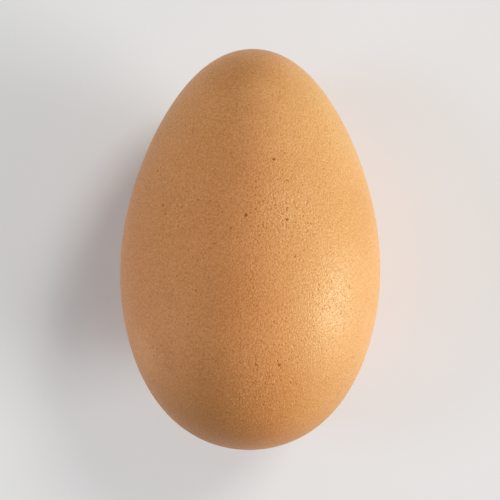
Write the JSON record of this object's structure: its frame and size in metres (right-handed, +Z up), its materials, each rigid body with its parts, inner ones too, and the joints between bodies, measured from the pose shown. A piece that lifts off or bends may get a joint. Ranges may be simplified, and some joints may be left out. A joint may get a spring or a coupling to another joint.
{
  "type": "long brown egg",
  "caption": "Long brown egg, whole in its matt pored shell, lying on its side on a small flat spot with the pointed end slightly low.",
  "frame": {"origin": "on the surface that the egg lies on, under the middle of its bounding box", "axes": "+Y along the egg towards its pointed end, which dips by 4.6 degrees; +X across the egg; +Z up"},
  "size_m": [0.043, 0.0664, 0.0428],
  "materials": {
    "eggshell": "matt brown eggshell with fine pores and a few darker specks"
  },
  "bodies": {
    "root": {"egg": "eggshell"}
  },
  "joints": []
}
